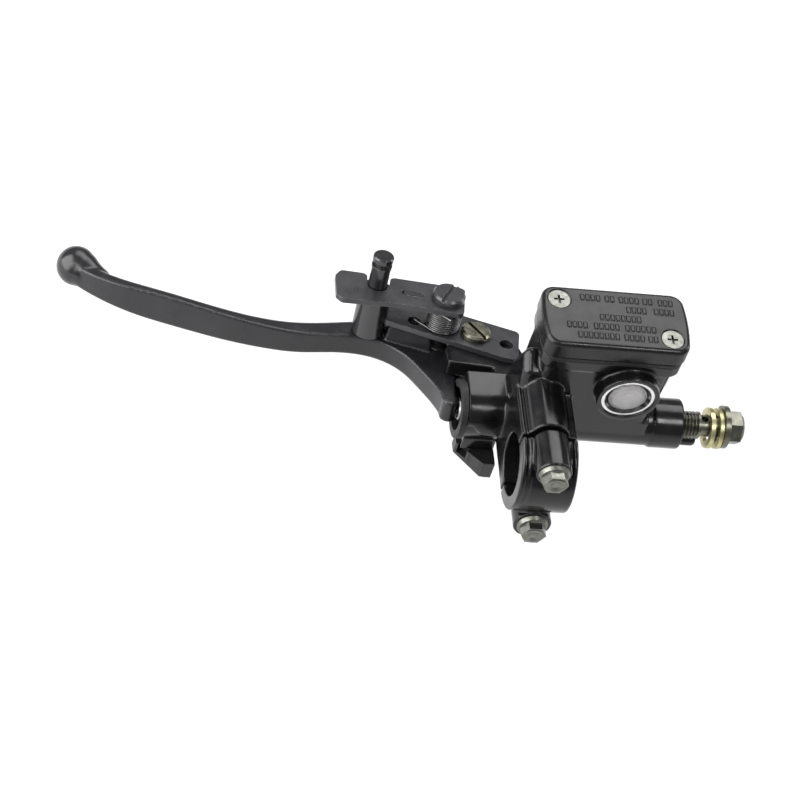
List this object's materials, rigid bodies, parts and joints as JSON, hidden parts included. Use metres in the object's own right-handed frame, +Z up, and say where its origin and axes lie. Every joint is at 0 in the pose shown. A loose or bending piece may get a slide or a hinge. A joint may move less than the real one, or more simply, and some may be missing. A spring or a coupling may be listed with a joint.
{
  "type": "motorcycle brake master cylinder",
  "caption": "Handlebar brake master cylinder with fluid reservoir, bar clamp, hand lever with sprung park latch, hose bolt and brake lamp switch.",
  "frame": {"origin": "centre of the handlebar clamp's bore, midway along it", "axes": "+X along the handlebar towards the hose port, +Z up towards the reservoir cap, -Y towards the rider"},
  "size_m": [0.2451, 0.1214, 0.0741],
  "materials": {
    "casting_paint": "gloss black paint over die-cast alloy, with a fine orange-peel",
    "cap_paint": "semi-gloss black paint",
    "lever_paint": "satin black paint over cast alloy",
    "plate_paint": "satin black coat on stamped steel",
    "pin_paint": "gloss black coat on turned steel",
    "zinc": "pale greenish zinc plate",
    "yellow_zinc": "pale yellow zinc plate",
    "dark_nickel": "dark nickel plate",
    "washer_gold": "pale gold crush washer",
    "spring_steel": "dark spring steel",
    "bezel_bright": "bright polished",
    "reflector_white": "pale satin",
    "lens_clear": "clear, glossy",
    "rubber_black": "matt black rubber",
    "piston_alloy": "hard anodised, satin",
    "switch_plastic": "moulded black nylon",
    "terminal_brass": "plain",
    "bushing_bronze": "sintered bronze",
    "diaphragm_plate_plastic": "moulded nylon"
  },
  "bodies": {
    "housing": {"master_cylinder_body": "casting_paint", "clamp_cap": "casting_paint", "clamp_bolts": "zinc", "reservoir_cap": "cap_paint", "diaphragm_plate": "diaphragm_plate_plastic", "diaphragm": "rubber_black", "cap_screws": "zinc", "sight_glass_bezel": "bezel_bright", "sight_glass_seal": "rubber_black", "sight_glass_lens": "lens_clear", "sight_glass_reflector": "reflector_white", "port_baffle": "zinc", "banjo_bolt": "dark_nickel", "inner_banjo_washer": "washer_gold", "outer_banjo_washer": "washer_gold", "return_spring": "spring_steel", "piston_stop_washer": "zinc", "piston_circlip": "spring_steel", "mouth_seal": "rubber_black", "lever_pivot_bolt": "yellow_zinc", "lever_pivot_nut": "yellow_zinc", "brake_switch_case": "switch_plastic", "brake_switch_screw": "zinc", "brake_switch_terminals": "terminal_brass"},
    "piston": {"piston": "piston_alloy", "primary_cup": "rubber_black", "secondary_cup": "rubber_black", "spring_seat": "zinc"},
    "lever": {"brake_lever": "lever_paint", "lever_bushing": "bushing_bronze", "latch_carrier": "plate_paint", "lock_post": "pin_paint", "latch_pivot_screw": "plate_paint", "latch_spacer": "plate_paint", "latch_spring": "spring_steel"},
    "latch": {"latch_plate": "plate_paint"}
  },
  "joints": [
    {"name": "lever_pull", "type": "hinge", "parent": "housing", "child": "lever", "pos_m": [-0.0175, 0.05408, -0.01248], "axis": [0, 0.225, 0.9744], "range_deg": [0, 16], "stiffness_Nm_per_rad": 0.6, "springref_deg": -5.73},
    {"name": "piston_stroke", "type": "slide", "parent": "housing", "child": "piston", "axis": [1, 0, 0], "range_m": [0, 0.008], "deforming": ["return_spring"]},
    {"name": "latch_swing", "type": "hinge", "parent": "lever", "child": "latch", "pos_m": [-0.0293, 0.06347, 0.00998], "axis": [0, 0.225, 0.9744], "range_deg": [0, 25], "stiffness_Nm_per_rad": 0.02, "springref_deg": -11.46}
  ],
  "couplings": [
    {"joint": "piston_stroke", "follows": "lever_pull", "m_per_rad": 0.028}
  ]
}
